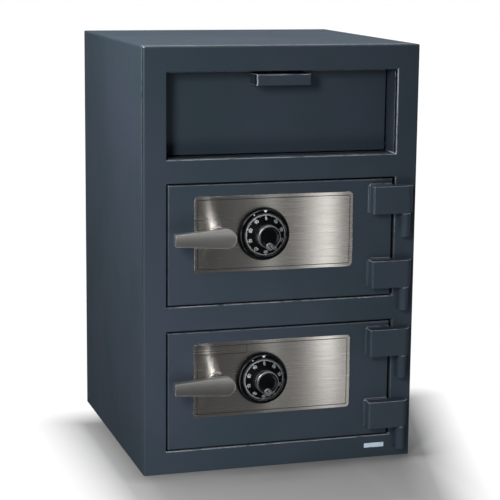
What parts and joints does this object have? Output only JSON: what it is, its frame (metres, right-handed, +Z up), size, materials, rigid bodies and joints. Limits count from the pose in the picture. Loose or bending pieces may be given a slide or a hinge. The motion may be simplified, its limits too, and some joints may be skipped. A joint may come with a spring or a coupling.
{
  "type": "deposit safe",
  "caption": "Steel deposit safe: a tilting drop hopper above stacked compartments, each with a hinged door, combination dial, lever and boltwork.",
  "frame": {"origin": "centre of the cabinet's base, on the floor", "axes": "+Z up along the cabinet's height, -Y out of the front face, +X to the hinge side"},
  "size_m": [0.508, 0.5655, 0.762],
  "materials": {
    "cabinet_paint": "satin baked paint, dark blue-grey",
    "inside_paint": "satin baked paint, dark blue-grey",
    "brushed_trim": "brushed along its length",
    "bright_chrome": "satin chrome",
    "plain_steel": "plain zinc-plated steel",
    "lock_brass": "machined brass",
    "lock_zinc": "die-cast, matt",
    "dial_black": "satin black"
  },
  "bodies": {
    "cabinet": {"body_shell": "cabinet_paint", "front_frame": "cabinet_paint", "divider_shelf": "inside_paint", "hopper_deck": "inside_paint", "hopper_liner": "cabinet_paint", "hopper_comb": "inside_paint", "hopper_pivots": "plain_steel", "hinge_knuckles": "cabinet_paint", "hinge_pins": "bright_chrome", "hinge_washers": "bright_chrome"},
    "hopper": {"hopper_panel": "cabinet_paint", "hopper_cheeks": "inside_paint", "hopper_tray": "inside_paint", "hopper_pull": "cabinet_paint"},
    "upper_door": {"upper_door_plate": "cabinet_paint", "upper_hinge_blocks": "cabinet_paint", "upper_dead_bar": "plain_steel", "upper_trim_plate": "brushed_trim", "upper_hard_plate": "plain_steel", "upper_housing": "inside_paint", "upper_housing_cover": "inside_paint", "upper_cover_screws": "plain_steel", "upper_guide_studs": "plain_steel", "upper_dial_ring": "dial_black", "upper_lock_case": "lock_zinc", "upper_lock_cover": "lock_brass"},
    "upper_boltwork": {"upper_bolt_bar": "plain_steel", "upper_locking_bolts": "bright_chrome"},
    "upper_lever": {"upper_lever_handle": "bright_chrome", "upper_lever_spindle": "bright_chrome", "upper_crank_arm": "plain_steel"},
    "upper_dial_set": {"upper_dial": "dial_black", "upper_dial_knob": "dial_black", "upper_dial_spindle": "lock_brass", "upper_lock_wheels": "lock_brass"},
    "upper_lock_slide": {"upper_lock_bolt": "lock_brass"},
    "lower_door": {"lower_door_plate": "cabinet_paint", "lower_hinge_blocks": "cabinet_paint", "lower_dead_bar": "plain_steel", "lower_trim_plate": "brushed_trim", "lower_hard_plate": "plain_steel", "lower_housing": "inside_paint", "lower_housing_cover": "inside_paint", "lower_cover_screws": "plain_steel", "lower_guide_studs": "plain_steel", "lower_dial_ring": "dial_black", "lower_lock_case": "lock_zinc", "lower_lock_cover": "lock_brass"},
    "lower_boltwork": {"lower_bolt_bar": "plain_steel", "lower_locking_bolts": "bright_chrome"},
    "lower_lever": {"lower_lever_handle": "bright_chrome", "lower_lever_spindle": "bright_chrome", "lower_crank_arm": "plain_steel"},
    "lower_dial_set": {"lower_dial": "dial_black", "lower_dial_knob": "dial_black", "lower_dial_spindle": "lock_brass", "lower_lock_wheels": "lock_brass"},
    "lower_lock_slide": {"lower_lock_bolt": "lock_brass"}
  },
  "joints": [
    {"name": "hopper_tilt", "type": "hinge", "parent": "cabinet", "child": "hopper", "pos_m": [0, -0.194, 0.5775], "axis": [1, 0, 0], "range_deg": [0, 50]},
    {"name": "upper_door_swing", "type": "hinge", "parent": "cabinet", "child": "upper_door", "pos_m": [0.23, -0.26625, 0.4145], "axis": [0, 0, 1], "range_deg": [0, 170]},
    {"name": "upper_lever_turn", "type": "hinge", "parent": "upper_door", "child": "upper_lever", "pos_m": [-0.122, -0.2545, 0.433], "axis": [0, -1, 0], "range_deg": [0, 90]},
    {"name": "upper_bolt_throw", "type": "slide", "parent": "upper_door", "child": "upper_boltwork", "axis": [-1, 0, 0], "range_m": [0, 0.02]},
    {"name": "upper_dial_spin", "type": "hinge", "parent": "upper_door", "child": "upper_dial_set", "pos_m": [-0.037, -0.2545, 0.4305], "axis": [0, -1, 0], "continuous": true},
    {"name": "upper_lock_bolt_slide", "type": "slide", "parent": "upper_door", "child": "upper_lock_slide", "axis": [0, 0, -1], "range_m": [0, 0.008]},
    {"name": "lower_door_swing", "type": "hinge", "parent": "cabinet", "child": "lower_door", "pos_m": [0.23, -0.26625, 0.151], "axis": [0, 0, 1], "range_deg": [0, 170]},
    {"name": "lower_lever_turn", "type": "hinge", "parent": "lower_door", "child": "lower_lever", "pos_m": [-0.122, -0.2545, 0.1695], "axis": [0, -1, 0], "range_deg": [0, 90]},
    {"name": "lower_bolt_throw", "type": "slide", "parent": "lower_door", "child": "lower_boltwork", "axis": [-1, 0, 0], "range_m": [0, 0.02]},
    {"name": "lower_dial_spin", "type": "hinge", "parent": "lower_door", "child": "lower_dial_set", "pos_m": [-0.037, -0.2545, 0.167], "axis": [0, -1, 0], "continuous": true},
    {"name": "lower_lock_bolt_slide", "type": "slide", "parent": "lower_door", "child": "lower_lock_slide", "axis": [0, 0, -1], "range_m": [0, 0.008]}
  ],
  "couplings": [
    {"joint": "upper_bolt_throw", "follows": "upper_lever_turn", "m_per_rad": 0.012732},
    {"joint": "lower_bolt_throw", "follows": "lower_lever_turn", "m_per_rad": 0.012732}
  ]
}
